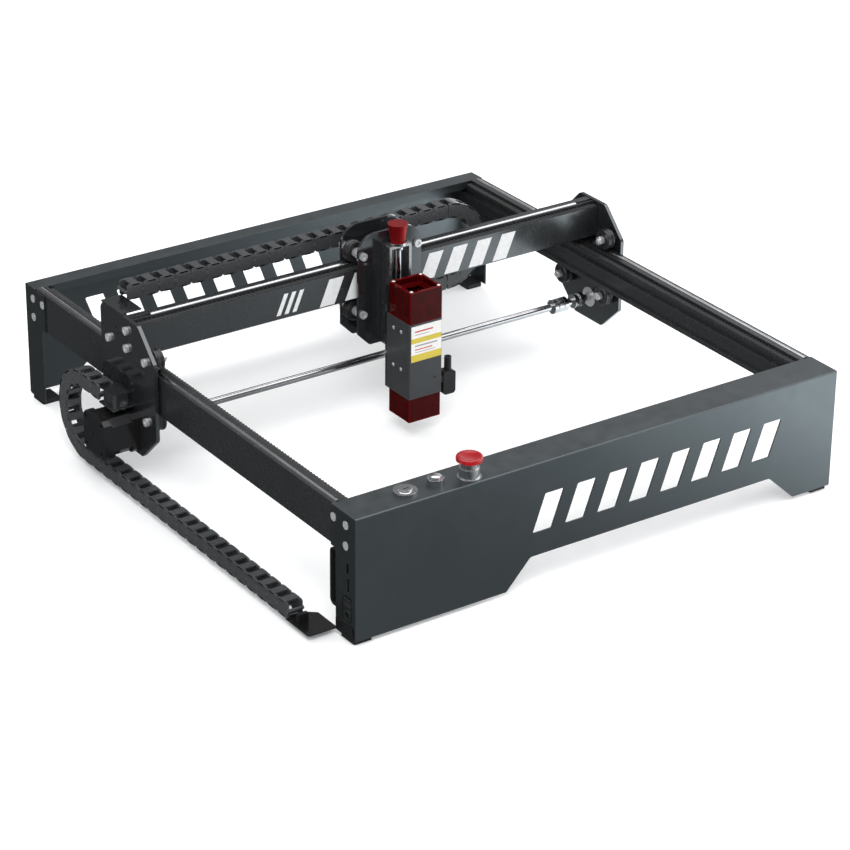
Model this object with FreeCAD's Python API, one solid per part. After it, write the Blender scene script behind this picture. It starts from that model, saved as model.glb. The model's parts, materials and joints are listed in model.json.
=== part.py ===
import FreeCAD, Part
import math
import os

# Desktop laser engraver and cutter: two folded sheet covers and two side rails make an open frame,
# a gantry beam rides on the rails, a carriage rides on the beam, and the laser head slides on the carriage.
# Millimetres. +X runs along the front cover, +Y towards the rear cover, +Z up. z = 0 is the table.
# Everything is modelled about the middle of the frame; export() then moves it sideways so that the
# origin is the middle of the whole machine's footprint, motor included.

V = FreeCAD.Vector
X_AXIS = V(1, 0, 0)
Y_AXIS = V(0, 1, 0)
Z_AXIS = V(0, 0, 1)

# ---------------------------------------------------------------- driving dimensions
WIDTH = 570.0
DEPTH = 630.0
HEIGHT = 132.0
SHEET = 1.5
FOOT = 5.0
FOOT_HALF = 10.0
GANTRY_Y = 90.0          # the gantry's rest position
CAR_X = 11.0             # middle of the carriage at rest
HEAD_X = 13.5            # middle of the laser head at rest
RUN = 0.05               # radial clearance of a turning or sliding pair

HALF_W = WIDTH / 2
HALF_D = DEPTH / 2

# extruded profile, shared by the side rails and the beam
PROFILE_W = 20.0
PROFILE_H = 42.0
LEDGE_W = 7.0            # step that carries the toothed belt
LEDGE_H = 4.5
RAIL_ROD_U = 14.5        # guide rod of a rail, measured from the ledge side
BEAM_ROD_U = 10.0        # the same on the beam
ROD_R = 2.5
ROD_PROUD = 1.25
GROOVE_DEPTH = 3.0

RAIL_X = HALF_W - SHEET - PROFILE_W      # inner face of a rail
RAIL_Z = HEIGHT - PROFILE_H            # underside of a rail
RAIL_TOP = RAIL_Z + PROFILE_H
FRONT_FLANGE = 39.5
REAR_FLANGE = 21.0

# wheels
WHEEL_R = 11.4
WHEEL_GROOVE_R = 10.3
WHEEL_W = 9.0
AXLE_R = 2.5
WHEEL_X = RAIL_X + RAIL_ROD_U
WHEEL_TOP_Z = RAIL_TOP + ROD_PROUD + WHEEL_GROOVE_R + RUN
WHEEL_LOW_Z = RAIL_Z - ROD_PROUD - WHEEL_GROOVE_R - RUN
WHEEL_DY = 36.0          # half the wheelbase of the gantry

# gantry
PLATE_T = 4.0
PLATE_IN = HALF_W + 0.5
PLATE_OUT = PLATE_IN + PLATE_T
BEAM_Z = RAIL_TOP + 1.8
BEAM_TOP = BEAM_Z + PROFILE_H
BEAM_Y = GANTRY_Y - PROFILE_W / 2
ROD_Y = BEAM_Y + BEAM_ROD_U
SHAFT_Z = 60.5
SHAFT_R = 4.0            # shaft across the machine, and the height screw
MOTOR_SHAFT_R = 2.5
BOSS_R = 11.0            # round boss on a motor's flange, and the shaft's ball bearing
MOTOR_W = 42.3
MOTOR_L = 41.0
SCREW_HEAD_R = 4.3
SCREW_HEAD_H = 3.0

# carriage
CAR_FRONT_Y = 72.0
CAR_REAR_Y = BEAM_Y + PROFILE_W + 4.0
CAR_T = 3.0
CAR_HALF = 39.0
CAR_WHEEL_DX = 33.5
CAR_WHEEL_TOP_Z = BEAM_TOP + ROD_PROUD + WHEEL_GROOVE_R + RUN
CAR_WHEEL_LOW_Z = BEAM_Z - ROD_PROUD - WHEEL_GROOVE_R - RUN
X_MOTOR_X = CAR_X
X_MOTOR_Z = 109.0
X_MOTOR_L = 14.5

# laser head
SHELL_W = 41.0
SHELL_D = 41.0
SHELL_FRONT = 9.0
SHELL_LOW = 45.0
SHELL_TOP = 129.0
SHELL_X0 = HEAD_X - SHELL_W / 2
SHELL_X1 = HEAD_X + SHELL_W / 2
SHELL_BACK = SHELL_FRONT + SHELL_D
GUARD_TOP = 164.5
GUARD_LOW = 18.0
SCREW_X = HEAD_X
SCREW_Y = 61.5

# cable chains
LINK = 18.5              # pitch
CHAIN_H = 16.0
CHAIN_W = 17.0
BEND_R = 41.0            # radius of the middle line in the bend
BEND_LINKS = 7
Y_CHAIN_X = -316.0       # outer side
Y_CHAIN_Z = 7.0
Y_BEND_Y = 141.0
X_CHAIN_Y = 124.0
X_CHAIN_TOP = 195.0
X_BEND_X = 120.0

# controls on the front cover
KEY_AT = (-217.0, -294.0)
PAUSE_AT = (-184.0, -295.0)
STOP_AT = (-150.3, -301.0)

# the machine's left end is the Y motor and its right end the screws of the right plate
LEFT_END = PLATE_OUT + MOTOR_L
RIGHT_END = PLATE_OUT + SCREW_HEAD_H
SHIFT_X = (LEFT_END - RIGHT_END) / 2


# ---------------------------------------------------------------- helpers
def box(x0, x1, y0, y1, z0, z1):
    return Part.makeBox(x1 - x0, y1 - y0, z1 - z0, V(x0, y0, z0))


def cyl(at, axis, radius, length):
    return Part.makeCylinder(radius, length, V(*at), axis)


def cone(at, axis, r0, r1, length):
    return Part.makeCone(r0, r1, length, V(*at), axis)


def tube(at, axis, r_out, r_in, length):
    return cyl(at, axis, r_out, length).cut(cyl(at, axis, r_in, length))


def hexagon(at, axis, across_flats, length):
    """Hexagonal prism that starts at a point and runs along an axis."""
    side = V(0, 0, 1) if abs(axis.z) < 0.5 else V(1, 0, 0)
    other = axis.cross(side)
    r = across_flats / math.sqrt(3)
    points = []
    for k in range(7):
        a = math.radians(60 * k)
        points.append(V(*at) + side * (r * math.cos(a)) + other * (r * math.sin(a)))
    return Part.Face(Part.makePolygon(points)).extrude(axis * length)


def outline(points, radii):
    """Closed wire through 3-D corner points, each corner rounded by its radius (0 leaves it sharp)."""
    count = len(points)
    starts, ends, edges = [], [], []
    for k in range(count):
        p = points[k]
        before = (points[k - 1] - p).normalize()
        after = (points[(k + 1) % count] - p).normalize()
        r = radii[k]
        half = before.getAngle(after) / 2
        reach = r / math.tan(half) if r else 0.0
        starts.append(p + before * reach)
        ends.append(p + after * reach)
        if r:
            middle = (before + after).normalize()
            centre = p + middle * (r / math.sin(half))
            top = centre - middle * r
            edges.append((k, Part.Arc(starts[k], top, ends[k]).toShape()))
    arcs = dict(edges)
    chain = []
    for k in range(count):
        if k in arcs:
            chain.append(arcs[k])
        following = starts[(k + 1) % count]
        if ends[k].distanceToPoint(following) > 1e-6:
            chain.append(Part.LineSegment(ends[k], following).toShape())
    return Part.Wire(chain)


def plate(points, radii, thickness):
    """Flat plate from an outline, thickened along a vector."""
    return Part.Face(outline(points, radii)).extrude(thickness)


def fuse(shapes):
    return shapes[0].multiFuse(shapes[1:]).removeSplitter()


def cut(shape, tools):
    return shape.cut(Part.makeCompound(tools))


def mirror_x(shape):
    return shape.mirror(V(0, 0, 0), X_AXIS)


def mirror_y(shape):
    return shape.mirror(V(0, 0, 0), Y_AXIS)


def cap_screw(at, axis):
    """Head of a socket screw standing on a face, with its hexagonal socket."""
    head = cyl(at, axis, SCREW_HEAD_R, SCREW_HEAD_H)
    socket_at = V(*at) + axis * (SCREW_HEAD_H / 2)
    return head.cut(hexagon(tuple(socket_at), axis, 4.0, SCREW_HEAD_H))


def fillet_edges(shape, radius, wanted):
    """Rounds the straight edges for which wanted(middle, direction) is true."""
    chosen = []
    for edge in shape.Edges:
        if not isinstance(edge.Curve, Part.Line):
            continue
        middle = edge.valueAt((edge.FirstParameter + edge.LastParameter) / 2)
        if wanted(middle, edge.Curve.Direction):
            chosen.append(edge)
    return shape.makeFillet(radius, chosen)


# ---------------------------------------------------------------- frame
LEG_SLOPE_LEFT = (-115.0, -87.5)
LEG_SLOPE_RIGHT = (205.0, 237.0)
SKIRT_Z = 34.5           # underside of the cover between its legs
SLOT_COUNT = 8
SLOT_W = 22.0
SLOT_PITCH = 38.0
SLOT_Z = (59.0, 98.0)
SLOT_LEAN = 14.0
SLOT_X = -86.0


def cover_face():
    """The front cover's face: a long panel with a leg at each end and a raised middle."""
    y = -HALF_D
    corners = [(-HALF_W, FOOT), (LEG_SLOPE_LEFT[0], FOOT), (LEG_SLOPE_LEFT[1], SKIRT_Z),
               (LEG_SLOPE_RIGHT[0], SKIRT_Z), (LEG_SLOPE_RIGHT[1], FOOT), (HALF_W, FOOT),
               (HALF_W, HEIGHT), (-HALF_W, HEIGHT)]
    radii = [1.0, 3.0, 6.0, 6.0, 3.0, 1.0, 0, 0]
    return plate([V(x, y, z) for x, z in corners], radii, Y_AXIS * SHEET)


def slanted_slots():
    """A plain row of slanted openings through the cover's face."""
    slots = []
    for k in range(SLOT_COUNT):
        x = SLOT_X + k * SLOT_PITCH
        low, high = SLOT_Z
        corners = [V(x, -HALF_D - 1, low), V(x + SLOT_W, -HALF_D - 1, low),
                   V(x + SLOT_W + SLOT_LEAN, -HALF_D - 1, high), V(x + SLOT_LEAN, -HALF_D - 1, high)]
        slots.append(plate(corners, [1.5] * 4, Y_AXIS * (SHEET + 2)))
    return slots


def cover(flange):
    """Folded cover: pierced face, top flange, and a small turned-down lip on the flange's free edge."""
    top = box(-HALF_W, HALF_W, -HALF_D, -HALF_D + flange, HEIGHT - SHEET, HEIGHT)
    inner = RAIL_X - 1.0
    lip_y = -HALF_D + flange
    lip = box(-inner, inner, lip_y - SHEET, lip_y, HEIGHT - 9.0, HEIGHT)
    shell = cut(fuse([cover_face(), top, lip]), slanted_slots())

    def is_top_bend(middle, direction):
        return abs(direction.x) > 0.99 and middle.y < -HALF_D + 0.01 and middle.z > HEIGHT - 0.01
    return fillet_edges(shell, 1.2, is_top_bend)


def front_cover():
    """The front cover has three holes in its flange for the controls."""
    holes = [cyl((x, y, HEIGHT - 5), Z_AXIS, r, 10) for (x, y), r in
             ((KEY_AT, KEY_R), (PAUSE_AT, PAUSE_R), (STOP_AT, STOP_R))]
    return cut(cover(FRONT_FLANGE), holes)


def rear_cover():
    """The rear cover is the same folded panel turned round, with a narrower flange."""
    turned = cover(REAR_FLANGE)
    turned.rotate(V(0, 0, 0), Z_AXIS, 180)
    return turned


PORT_Y = (-309.0, -293.0)
PORT_Z = (19.0, 47.0)
USB_AT = (-302.0, 76.0)
CARD_AT = (-303.0, 58.5)
RAIL_SCREWS = ((-278.5, 119.5), (-299.0, 119.5), (-299.0, 98.5))


def end_plate(screws):
    """Closes one end of a cover and holds the end of a rail."""
    x = HALF_W - SHEET
    y0 = -HALF_D + SHEET
    panel = box(x, HALF_W, y0, -282.0, FOOT, HEIGHT - SHEET)
    ear = box(x, HALF_W, -282.5, -274.0, RAIL_Z - 1.0, HEIGHT - SHEET)
    holes = [cyl((x - 1, y, z), X_AXIS, 2.2, 4) for y, z in screws]
    return cut(fuse([panel, ear]), holes)


def end_plates():
    """Four end plates; the front left one is pierced for the sockets and the power switch."""
    x = -HALF_W - 1
    openings = [box(x, x + 4, PORT_Y[0], PORT_Y[1], PORT_Z[0], PORT_Z[1]),
                box(x, x + 4, USB_AT[0] - 2.2, USB_AT[0] + 2.2, USB_AT[1] - 5.2, USB_AT[1] + 5.2),
                box(x, x + 4, CARD_AT[0] - 1.6, CARD_AT[0] + 1.6, CARD_AT[1] - 7.2, CARD_AT[1] + 7.2)]
    right = end_plate(RAIL_SCREWS)
    left = cut(mirror_x(right), openings)
    rear = mirror_y(right)
    return Part.makeCompound([left, right, rear, mirror_x(rear)])


def profile_points(place, grooved):
    """Corner points of the extruded profile; place(u, v) puts a profile point in space.
    u runs across from the ledge side, v runs up. The ledge side is plain or has two grooves."""
    w, h, t = PROFILE_W, PROFILE_H, GROOVE_DEPTH
    grooves = ((35.0, 27.5), (23.0, 9.0)) if grooved else ()
    uv = [(LEDGE_W, 0), (w, 0), (w, h), (LEDGE_W, h), (LEDGE_W, h - LEDGE_H), (0, h - LEDGE_H)]
    for high, low in grooves:
        uv += [(0, high), (t, high), (t, low), (0, low)]
    uv += [(0, LEDGE_H), (LEDGE_W, LEDGE_H)]
    return [place(u, v) for u, v in uv]


def profile_bar(place, along, length, rod_u, grooved):
    """Extruded bar with a groove for a rod along its top and its underside, and two tapped core holes."""
    corners = profile_points(place, grooved)
    bar = Part.Face(Part.makePolygon(corners + corners[:1])).extrude(along * length)
    tools = []
    for v in (ROD_R - ROD_PROUD, PROFILE_H - ROD_R + ROD_PROUD):
        tools.append(cyl(tuple(place(rod_u, v) - along), along, ROD_R, length + 2))
    for v in (PROFILE_H / 4 + 1, PROFILE_H * 3 / 4 - 1):
        tools.append(cyl(tuple(place(rod_u, v) - along), along, 2.1, length + 2))
    return cut(bar, tools)


RAIL_LENGTH = DEPTH - 2 * SHEET


def right_rail():
    """Side rail; its top is stepped down at both ends, where the flanges of the covers lie on it."""
    def place(u, v):
        return V(RAIL_X + u, -RAIL_LENGTH / 2, RAIL_Z + v)
    bar = profile_bar(place, Y_AXIS, RAIL_LENGTH, RAIL_ROD_U, True)
    x0, x1, step = RAIL_X - 1, HALF_W + 1, HEIGHT - SHEET
    front = box(x0, x1, -HALF_D, -HALF_D + FRONT_FLANGE, step, HEIGHT + 1)
    rear = box(x0, x1, HALF_D - REAR_FLANGE, HALF_D, step, HEIGHT + 1)
    return cut(bar, [front, rear])


def left_rail():
    return mirror_x(right_rail())


def rail_rods():
    """Steel guide rods pressed into the top and underside of each side rail."""
    y0 = -HALF_D + FRONT_FLANGE + 1
    length = DEPTH - FRONT_FLANGE - REAR_FLANGE - 2
    rods = []
    for z in (RAIL_Z + ROD_R - ROD_PROUD, RAIL_TOP - ROD_R + ROD_PROUD):
        rod = cyl((WHEEL_X, y0, z), Y_AXIS, ROD_R, length)
        rods += [rod, mirror_x(rod)]
    return Part.makeCompound(rods)


BELT_W = 6.0
BELT_T = 0.9
TOOTH_H = 0.7
TOOTH_PITCH = 5.0


def toothed_strip(length):
    """Flat belt along +X with teeth on its upper side; its back lies on z = 0."""
    count = int((length - TOOTH_PITCH) / TOOTH_PITCH)
    start = (length - count * TOOTH_PITCH) / 2
    bottom = [V(0, 0, 0), V(0, 0, BELT_T)]
    for k in range(count):
        x = start + k * TOOTH_PITCH
        bottom += [V(x, 0, BELT_T), V(x + 0.6, 0, BELT_T + TOOTH_H),
                   V(x + 1.9, 0, BELT_T + TOOTH_H), V(x + 2.5, 0, BELT_T)]
    bottom += [V(length, 0, BELT_T), V(length, 0, 0)]
    side = Part.Face(Part.makePolygon(bottom + [bottom[0]]))
    return side.extrude(Y_AXIS * BELT_W)


def y_belts():
    """A toothed belt lies on the ledge of each side rail, teeth up."""
    length = RAIL_LENGTH - 8
    strip = toothed_strip(length)
    strip.rotate(V(0, 0, 0), Z_AXIS, 90)
    strip.translate(V(RAIL_X + 0.25 + BELT_W, -length / 2, RAIL_TOP - LEDGE_H))
    return Part.makeCompound([strip, mirror_x(strip)])


def feet():
    """Four rubber pads under the corners of the covers."""
    pads = []
    for sx in (-1, 1):
        for sy in (-1, 1):
            x, y = sx * (HALF_W - FOOT_HALF - 1.0), sy * (HALF_D - 15.0)
            pad = box(x - FOOT_HALF, x + FOOT_HALF, y - 11.5, y + 11.5, 0, FOOT)
            pads.append(fillet_edges(pad, 2.0, lambda p, d: abs(d.z) > 0.99))
    return Part.makeCompound(pads)


def frame_screws():
    """Socket screws that hold the end plates to the rails."""
    screws = []
    for y, z in RAIL_SCREWS:
        shank = cyl((HALF_W - SHEET, y, z), X_AXIS, 2.0, SHEET)
        head = cap_screw((HALF_W, y, z), X_AXIS).common(box(HALF_W, HALF_W + 0.4, y - 9, y + 9, z - 9, z + 9))
        screw = fuse([shank, head])
        for shape in (screw, mirror_y(screw)):
            screws += [shape, mirror_x(shape)]
    return Part.makeCompound(screws)


BOX_X = (-HALF_W + SHEET, -130.0)
BOX_Y = (-HALF_D + SHEET, -270.0)
BOX_Z = (26.0, 86.0)
BOARD_X = BOX_X[0] + 0.6
BOARD_Y = -288.0
WALL = 2.0
JACK_Z = 27.0
JACK_R = 3.2


def control_box():
    """Moulded housing of the control board, open towards the front cover."""
    outer = box(BOX_X[0], BOX_X[1], BOX_Y[0], BOX_Y[1], BOX_Z[0], BOX_Z[1])
    outer = fillet_edges(outer, 6.0, lambda p, d: abs(d.x) > 0.99 and p.y > BOX_Y[1] - 0.1)
    inner = box(BOX_X[0] - 1, BOX_X[1] - WALL, BOX_Y[0] - 1, BOX_Y[1] - WALL,
                BOX_Z[0] + WALL, BOX_Z[1] - WALL)
    notch = box(BOX_X[0] - 1, BOX_X[0] + 8, PORT_Y[0] - 1, BOARD_Y + 1, BOX_Z[0] - 1, BOX_Z[0] + WALL + 1)
    return cut(outer, [inner, notch])


def board_socket(at, half_y, half_z, depth, wall):
    """Metal shell of a socket, open at the left end of the board."""
    y, z = at
    shell = box(BOARD_X, BOARD_X + depth, y - half_y, BOARD_Y, z - half_z, z + half_z)
    mouth = box(BOARD_X - 1, BOARD_X + depth - 2, y - half_y + wall, y + half_y - wall,
                z - half_z + 1, z + half_z - 1)
    return shell.cut(mouth)


def port_block():
    """Moulded block in the end plate's opening: a well for the rocker switch above the round power jack."""
    y0, y1 = PORT_Y
    z0, z1 = PORT_Z[0] + 0.3, PORT_Z[1] - 0.3
    middle = (y0 + y1) / 2
    behind = box(BOARD_X, BOARD_X + 6.5, y0 + 0.3, BOARD_Y, z0, z1)
    in_opening = box(BOARD_X - 1.4, BOARD_X, y0 + 0.3, y1 - 0.3, z0, z1)
    well = box(BOARD_X - 2, BOARD_X + 5.5, y0 + 2.2, y1 - 2.2, ROCKER_Z - 6.0, ROCKER_Z + 6.0)
    pin_hole = cyl((ROCKER_PIVOT_X, y0 + 0.9, ROCKER_Z), Y_AXIS, 1.0 + RUN, y1 - y0 - 1.8)
    jack_hole = cyl((BOARD_X - 2, middle, JACK_Z), X_AXIS, JACK_R, 6.5)
    jack_rim = tube((-HALF_W - 0.4, middle, JACK_Z), X_AXIS, 5.5, JACK_R, 1.5)
    return fuse([cut(fuse([behind, in_opening]), [well, pin_hole, jack_hole]), jack_rim])


def mainboard():
    """Control board with its soldered parts: processor, three drivers, USB, card and power sockets."""
    board = box(BOARD_X, BOX_X[1] - 6, BOARD_Y, BOARD_Y + 1.6, BOX_Z[0] + 5, BOX_Z[1] - 5)
    processor = box(-200, -184, BOARD_Y - 1.6, BOARD_Y, 50, 66)
    capacitor = cyl((-160, BOARD_Y, 60), -Y_AXIS, 5.0, 12)
    drivers = [box(x, x + 12, BOARD_Y - 6.0, BOARD_Y, 34, 46) for x in (-262, -242, -222)]
    usb = board_socket(USB_AT, 2.0, 5.0, 8.0, 1.0)
    card = board_socket(CARD_AT, 1.4, 7.0, 14.0, 0.8)
    return fuse([board, processor, capacitor, usb, card, port_block()] + drivers)


ROCKER_X = -HALF_W - 0.2
ROCKER_Z = 40.0
ROCKER_PIVOT_X = ROCKER_X + 2.6


def power_rocker():
    """Rocker of the power switch in the front left end plate; it tips about its middle."""
    y0, y1 = PORT_Y[0] + 2.5, PORT_Y[1] - 2.5
    points = [V(ROCKER_X + 4, y0, ROCKER_Z - 4), V(ROCKER_X, y0, ROCKER_Z - 5),
              V(ROCKER_X + 1.2, y0, ROCKER_Z),
              V(ROCKER_X - 0.6, y0, ROCKER_Z + 5), V(ROCKER_X + 4, y0, ROCKER_Z + 4)]
    rocker = plate(points, [0.8, 0.6, 0, 0.6, 0.8], Y_AXIS * (y1 - y0))
    pivot = cyl((ROCKER_PIVOT_X, y0 - 1.4, ROCKER_Z), Y_AXIS, 1.0, y1 - y0 + 2.8)
    return fuse([rocker, pivot])


def chain_anchor_bracket():
    """Folded bracket on the front left end plate that holds the fixed end of the Y cable chain."""
    z0 = Y_CHAIN_Z - SHEET
    corners = [V(-HALF_W, -284, z0), V(-HALF_W, -252, z0), V(-297, -242, z0), V(Y_CHAIN_X, -242, z0),
               V(Y_CHAIN_X, -284, z0)]
    base = plate(corners, [0, 0, 4, 3, 3], Z_AXIS * SHEET)
    tab = box(-HALF_W - SHEET, -HALF_W, -312, -284, z0, 18)
    foot = box(-HALF_W - SHEET, -HALF_W, -284.5, -283.5, z0, z0 + SHEET)
    lug = box(Y_CHAIN_X + 3.0, Y_CHAIN_X + CHAIN_W - 3.0, -262, -258, z0, Y_CHAIN_Z + 10)
    return fuse([base, tab, foot, lug])


# ---------------------------------------------------------------- cable chains
LINK_WALL = 2.2
LINK_GAP = 0.3


def chain_link():
    """One link along +X from x = 0, in the box y 0..CHAIN_W, z 0..CHAIN_H: two cheeks joined by two bars."""
    length = LINK - LINK_GAP
    w, h, t = CHAIN_W, CHAIN_H, LINK_WALL
    narrow = 7.0
    pieces = []
    for y in (0, w - t):
        pieces.append(box(narrow - 0.5, length, y, y + t, 0, h))
    for y in (1, w - 1 - t):
        pieces.append(box(0, narrow, y, y + t, 1.0, h - 1.0))
    bar = length - narrow - 1.0
    pieces.append(box(narrow, narrow + bar, 0, w, h - 1.6, h))
    pieces.append(box(narrow + 2, narrow + bar, 0, w, 0, 1.6))
    for y in (-0.4, w - 1.0):
        pieces.append(cyl((length - 6.0, y, h / 2), Y_AXIS, 3.2, 1.4))
    return fuse(pieces)


def straight_run(length):
    """Links end to end along +X over the given length; the first link is shortened to fit."""
    count = int(length / LINK)
    rest = length - count * LINK
    links = []
    link = chain_link()
    for k in range(count):
        copy = link.copy()
        copy.translate(V(rest + k * LINK, 0, 0))
        links.append(copy)
    if rest > 4:
        stub = box(LINK_GAP, rest - LINK_GAP, 0, CHAIN_W, 0, CHAIN_H)
        stub = stub.cut(box(-1, rest + 1, LINK_WALL, CHAIN_W - LINK_WALL, LINK_WALL, CHAIN_H - 1.6))
        links.append(stub)
    return links


def bend_links():
    """The half turn: wedge-shaped links round the Y direction, from the lower run to the upper run."""
    links = []
    step = 180.0 / BEND_LINKS
    r_in, r_out = BEND_R - CHAIN_H / 2, BEND_R + CHAIN_H / 2
    for k in range(BEND_LINKS):
        middle = math.radians(-90 + step * (k + 0.5))
        half = math.radians(step / 2 - 0.4)
        slot_from = math.radians(step / 2 - 7.0)
        link = ring_sector(r_in, r_out, middle, half, 0, CHAIN_W)
        hollow = ring_sector(r_in + 1.6, r_out - 1.6, middle, half + 0.1, LINK_WALL, CHAIN_W - LINK_WALL)
        slot = ring_sector(r_out - 3, r_out + 2, middle - slot_from, math.radians(3.2),
                           LINK_WALL, CHAIN_W - LINK_WALL)
        links.append(cut(link, [hollow, slot]))
    return links


def ring_sector(r_in, r_out, middle, half, y0, y1):
    """Sector of a ring in the XZ plane about the origin, between two values of y."""
    def at(r, a):
        return V(r * math.cos(a), y0, r * math.sin(a))
    a, b = middle - half, middle + half
    edges = [Part.LineSegment(at(r_in, a), at(r_out, a)).toShape(),
             Part.Arc(at(r_out, a), at(r_out, middle), at(r_out, b)).toShape(),
             Part.LineSegment(at(r_out, b), at(r_in, b)).toShape(),
             Part.Arc(at(r_in, b), at(r_in, middle), at(r_in, a)).toShape()]
    return Part.Face(Part.Wire(edges)).extrude(Y_AXIS * (y1 - y0))


def along_y(shapes, x, y, z):
    """Turns shapes built along +X so that they run along +Y, with their side y = 0 becoming x."""
    moved = []
    for shape in shapes:
        turned = shape.mirror(V(0, 0, 0), Y_AXIS)
        turned.rotate(V(0, 0, 0), Z_AXIS, 90)
        turned.translate(V(x, y, z))
        moved.append(turned)
    return moved


Y_CHAIN_START = -268.0
Y_CHAIN_END = 97.0
Y_CHAIN_UP = Y_CHAIN_Z + 2 * BEND_R


def y_chain_lower_run():
    length = Y_BEND_Y - Y_CHAIN_START
    links = along_y(straight_run(length), Y_CHAIN_X, Y_CHAIN_START, Y_CHAIN_Z)
    hole = box(Y_CHAIN_X + 2.8, Y_CHAIN_X + CHAIN_W - 2.8, -262.4, -257.6, 0, Y_CHAIN_Z + 10.4)
    return Part.makeCompound([link.cut(hole) for link in links])


def y_chain_bend():
    return Part.makeCompound(along_y(bend_links(), Y_CHAIN_X, Y_BEND_Y, Y_CHAIN_Z + CHAIN_H / 2 + BEND_R))


def y_chain_upper_run():
    """The chain's moving end, on the gantry."""
    length = Y_BEND_Y - Y_CHAIN_END
    return Part.makeCompound(along_y(straight_run(length), Y_CHAIN_X, Y_CHAIN_END, Y_CHAIN_UP))


X_CHAIN_LOW = X_CHAIN_TOP - CHAIN_H - 2 * BEND_R
X_CHAIN_START = -PLATE_IN + 3.0
X_CHAIN_END = 24.0


def move(shapes, x, y, z):
    for shape in shapes:
        shape.translate(V(x, y, z))
    return shapes


def x_chain_upper_run():
    length = X_BEND_X - X_CHAIN_START
    return Part.makeCompound(move(straight_run(length), X_CHAIN_START, X_CHAIN_Y, X_CHAIN_TOP - CHAIN_H))


def x_chain_bend():
    return Part.makeCompound(move(bend_links(), X_BEND_X, X_CHAIN_Y, X_CHAIN_TOP - CHAIN_H / 2 - BEND_R))


def x_chain_lower_run():
    """The chain's moving end, on the carriage."""
    length = X_BEND_X - X_CHAIN_END
    return Part.makeCompound(move(straight_run(length), X_CHAIN_END, X_CHAIN_Y, X_CHAIN_LOW))


# ---------------------------------------------------------------- controls
KEY_R = 9.0
PAUSE_R = 7.0
STOP_R = 10.0
KEY_BARREL_R = 5.0
PAUSE_CAP_R = 5.5
PAUSE_RIM = 6.0          # height of the pause button's collar
STOP_STEM_R = 8.5
STOP_PIN_R = 3.0
STOP_RIM = 1.0           # thickness of the rim under the stop button
STOP_HEAD_Z = HEIGHT + 15.4


def bezel(at, r_hole, r_rim, r_bore, rim, depth):
    """Threaded body through the flange with a rim on top and a nut below; its bore is open at the top."""
    x, y = at
    body = cyl((x, y, HEIGHT - depth), Z_AXIS, r_hole - 0.1, depth)
    top = cyl((x, y, HEIGHT), Z_AXIS, r_rim, rim)
    nut = hexagon((x, y, HEIGHT - SHEET - 4), Z_AXIS, 2 * r_hole + 3, 4)
    bore = cyl((x, y, HEIGHT - depth + 3), Z_AXIS, r_bore, depth + rim)
    return fuse([body, top, nut]).cut(bore)


def control_bezels():
    """Fixed bodies of the key switch, the pause button and the emergency stop."""
    key = bezel(KEY_AT, KEY_R, 11.5, KEY_BARREL_R + RUN, 2.5, 24)
    pause = bezel(PAUSE_AT, PAUSE_R, 8.2, PAUSE_CAP_R + RUN, PAUSE_RIM, 20)
    x, y = STOP_AT
    stop = bezel(STOP_AT, STOP_R, 11.5, STOP_STEM_R + RUN, STOP_RIM, 26)
    sleeve = tube((x, y, HEIGHT + STOP_RIM), Z_AXIS, STOP_R - 0.1, STOP_STEM_R + RUN, 9.0)
    return Part.makeCompound([key, pause, fuse([stop, sleeve])])


def key_barrel():
    """Turning barrel of the key switch, with its key slot and a raised rim."""
    x, y = KEY_AT
    barrel = cyl((x, y, HEIGHT - 20), Z_AXIS, KEY_BARREL_R, 22)
    rim = cone((x, y, HEIGHT + 2.6), Z_AXIS, 7.0, 6.2, 1.4)
    neck = cyl((x, y, HEIGHT + 1.5), Z_AXIS, KEY_BARREL_R, 2.0)
    slot = box(x - 3.6, x + 3.6, y - 0.8, y + 0.8, HEIGHT - 6, HEIGHT + 6)
    return fuse([barrel, neck, rim]).cut(slot)


def pause_button():
    """Round push button with a slightly crowned cap."""
    x, y = PAUSE_AT
    top = HEIGHT + PAUSE_RIM + 2.0
    body = cyl((x, y, HEIGHT - 14), Z_AXIS, PAUSE_CAP_R, top - HEIGHT + 14)
    crown_r = 16.0
    crown = Part.makeSphere(crown_r, V(x, y, top + 0.9 - crown_r))
    crown = crown.common(cyl((x, y, top - 0.1), Z_AXIS, PAUSE_CAP_R, 4))
    return fuse([body, crown])


def estop_stem():
    """Plunger of the emergency stop, with the pin that the mushroom head turns on."""
    x, y = STOP_AT
    top = STOP_HEAD_Z - 0.1
    stem = cyl((x, y, HEIGHT - 16), Z_AXIS, STOP_STEM_R, top - HEIGHT + 16)
    pin = cyl((x, y, top), Z_AXIS, STOP_PIN_R, 4)
    return fuse([stem, pin])


def estop_head():
    """Mushroom head: a flat round cap with a soft rim, a shallow dish on top and a tapered underside."""
    x, y = STOP_AT
    r, taper, thick, dish_r, dish = 12.9, 2.2, 6.6, 9.6, 0.9
    top = STOP_HEAD_Z + thick
    body = fuse([cone((x, y, STOP_HEAD_Z), Z_AXIS, r - 3.0, r, taper),
                 cyl((x, y, STOP_HEAD_Z + taper), Z_AXIS, r, thick - taper)])
    rim = [e for e in body.Edges if isinstance(e.Curve, Part.Circle) and e.CenterOfMass.z > top - 0.1]
    body = body.makeFillet(2.0, rim)
    ball_r = (dish_r ** 2 + dish ** 2) / (2 * dish)
    ball = Part.makeSphere(ball_r, V(x, y, top - dish + ball_r))
    socket = cyl((x, y, STOP_HEAD_Z - 1), Z_AXIS, STOP_PIN_R + RUN, 5.2)
    return cut(body, [ball, socket])


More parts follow.
